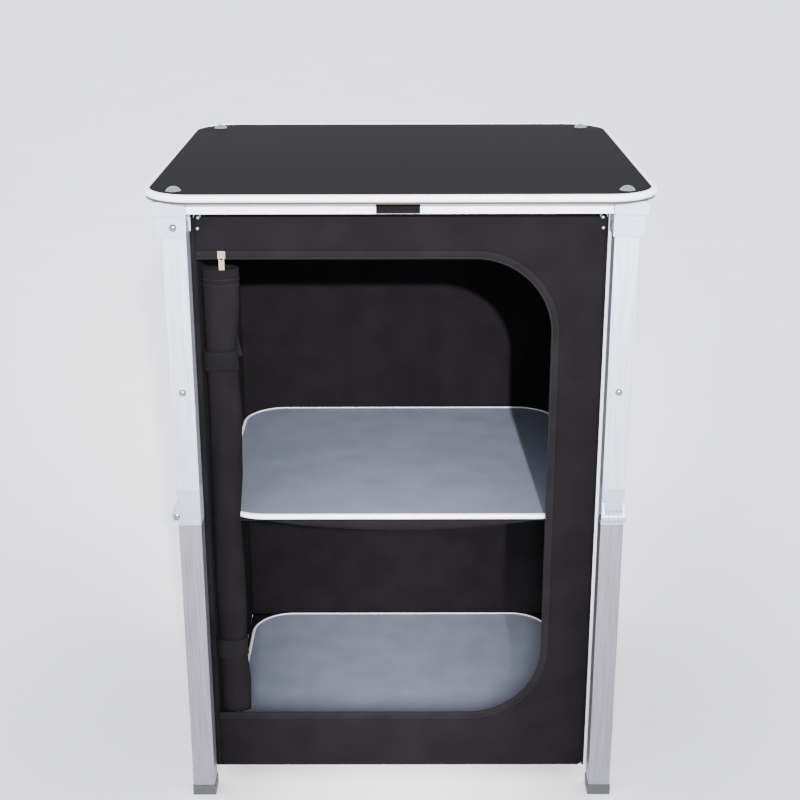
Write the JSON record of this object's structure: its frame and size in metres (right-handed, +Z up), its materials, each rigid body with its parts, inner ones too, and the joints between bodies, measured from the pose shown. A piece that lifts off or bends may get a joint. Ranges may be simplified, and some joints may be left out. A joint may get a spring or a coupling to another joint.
{
  "type": "camp kitchen table",
  "caption": "Folding aluminium camp kitchen table with a framed top, legs that fold at pivots and knees, and a hanging black fabric cabinet with shelves and a rolled-up door.",
  "frame": {"origin": "on the ground under the centre of the table top, at the middle of the base of the box", "axes": "+Z up, +X to the right of someone facing the cabinet's doorway, -Y towards that person"},
  "size_m": [0.6, 0.54, 0.8138],
  "materials": {
    "mdf": "brown fibreboard edge",
    "laminate": "black, faintly textured, low sheen",
    "trim": "bright brushed",
    "rail": "bright brushed",
    "leg_upper": "brushed along the tube",
    "leg_lower": "brushed along the tube, duller",
    "bracket": "light grey, satin",
    "knee": "light blue-grey, satin",
    "steel": "polished dome heads",
    "wire": "plated wire",
    "label": "plain black plate",
    "fabric": "black woven polyester",
    "webbing": "black ribbed tape",
    "shelf": "blue-grey laminate",
    "zip_metal": "pale plated metal",
    "foot": "black moulded cap"
  },
  "bodies": {
    "table": {"top_board": "mdf", "top_laminate": "laminate", "top_trim": "trim", "cap_bolts": "steel", "rail_front": "rail", "rail_right": "rail", "rail_back": "rail", "rail_left": "rail", "bracket_fl": "bracket", "bracket_fr": "bracket", "bracket_br": "bracket", "bracket_bl": "bracket", "pivot_rivets": "steel", "label_plate": "label", "front_panel": "fabric", "back_panel": "fabric", "left_panel": "fabric", "right_panel": "fabric", "top_hem": "webbing", "zip_tape": "webbing", "door_roll": "fabric", "roll_straps": "webbing", "cabinet_hooks": "wire", "corner_screws": "steel"},
    "upper_fl": {"upper_leg_fl": "leg_upper", "knee_block_fl": "knee", "leg_rivets_fl": "steel"},
    "lower_fl": {"lower_leg_fl": "leg_lower", "knee_tongue_fl": "knee", "foot_fl": "foot"},
    "upper_fr": {"upper_leg_fr": "leg_upper", "knee_block_fr": "knee", "leg_rivets_fr": "steel"},
    "lower_fr": {"lower_leg_fr": "leg_lower", "knee_tongue_fr": "knee", "foot_fr": "foot"},
    "upper_br": {"upper_leg_br": "leg_upper", "knee_block_br": "knee", "leg_rivets_br": "steel"},
    "lower_br": {"lower_leg_br": "leg_lower", "knee_tongue_br": "knee", "foot_br": "foot"},
    "upper_bl": {"upper_leg_bl": "leg_upper", "knee_block_bl": "knee", "leg_rivets_bl": "steel"},
    "lower_bl": {"lower_leg_bl": "leg_lower", "knee_tongue_bl": "knee", "foot_bl": "foot"},
    "cabinet_floor": {"floor_panel": "fabric", "floor_shelf": "shelf", "floor_shelf_trim": "trim"},
    "mid_level": {"mid_shelf": "shelf", "mid_shelf_trim": "trim", "mid_sling": "fabric"},
    "slider": {"zip_slider": "zip_metal"},
    "pull": {"zip_pull": "zip_metal"}
  },
  "joints": [
    {"name": "leg_fold_fl", "type": "hinge", "parent": "table", "child": "upper_fl", "pos_m": [-0.262, -0.232, 0.769], "axis": [0, -1, 0], "range_deg": [0, 90]},
    {"name": "knee_fold_fl", "type": "hinge", "parent": "upper_fl", "child": "lower_fl", "pos_m": [-0.2776, -0.232, 0.404], "axis": [0, -1, 0], "range_deg": [-180, 0]},
    {"name": "leg_fold_fr", "type": "hinge", "parent": "table", "child": "upper_fr", "pos_m": [0.262, -0.232, 0.769], "axis": [1, 0, 0], "range_deg": [0, 90]},
    {"name": "knee_fold_fr", "type": "hinge", "parent": "upper_fr", "child": "lower_fr", "pos_m": [0.262, -0.2476, 0.404], "axis": [1, 0, 0], "range_deg": [-180, 0]},
    {"name": "leg_fold_br", "type": "hinge", "parent": "table", "child": "upper_br", "pos_m": [0.262, 0.232, 0.769], "axis": [0, 1, 0], "range_deg": [0, 90]},
    {"name": "knee_fold_br", "type": "hinge", "parent": "upper_br", "child": "lower_br", "pos_m": [0.2776, 0.232, 0.404], "axis": [0, 1, 0], "range_deg": [-180, 0]},
    {"name": "leg_fold_bl", "type": "hinge", "parent": "table", "child": "upper_bl", "pos_m": [-0.262, 0.232, 0.769], "axis": [-1, 0, 0], "range_deg": [0, 90]},
    {"name": "knee_fold_bl", "type": "hinge", "parent": "upper_bl", "child": "lower_bl", "pos_m": [-0.262, 0.2476, 0.404], "axis": [-1, 0, 0], "range_deg": [-180, 0]},
    {"name": "cabinet_lift", "type": "slide", "parent": "table", "child": "cabinet_floor", "axis": [0, 0, 1], "range_m": [0, 0.69], "deforming": ["door_roll", "roll_straps"]},
    {"name": "mid_shelf_lift", "type": "slide", "parent": "table", "child": "mid_level", "axis": [0, 0, 1], "range_m": [0, 0.36]},
    {"name": "zip_slide", "type": "slide", "parent": "table", "child": "slider", "axis": [1, 0, 0], "range_m": [0, 0.295]},
    {"name": "zip_pull_swing", "type": "hinge", "parent": "slider", "child": "pull", "pos_m": [-0.212, -0.2168, 0.7301], "axis": [-1, 0, 0], "range_deg": [0, 180]}
  ],
  "couplings": [
    {"joint": "knee_fold_fl", "follows": "leg_fold_fl", "ratio": -2},
    {"joint": "knee_fold_fr", "follows": "leg_fold_fr", "ratio": -2},
    {"joint": "knee_fold_br", "follows": "leg_fold_br", "ratio": -2},
    {"joint": "knee_fold_bl", "follows": "leg_fold_bl", "ratio": -2},
    {"joint": "mid_shelf_lift", "follows": "cabinet_lift", "ratio": 0.5217}
  ]
}
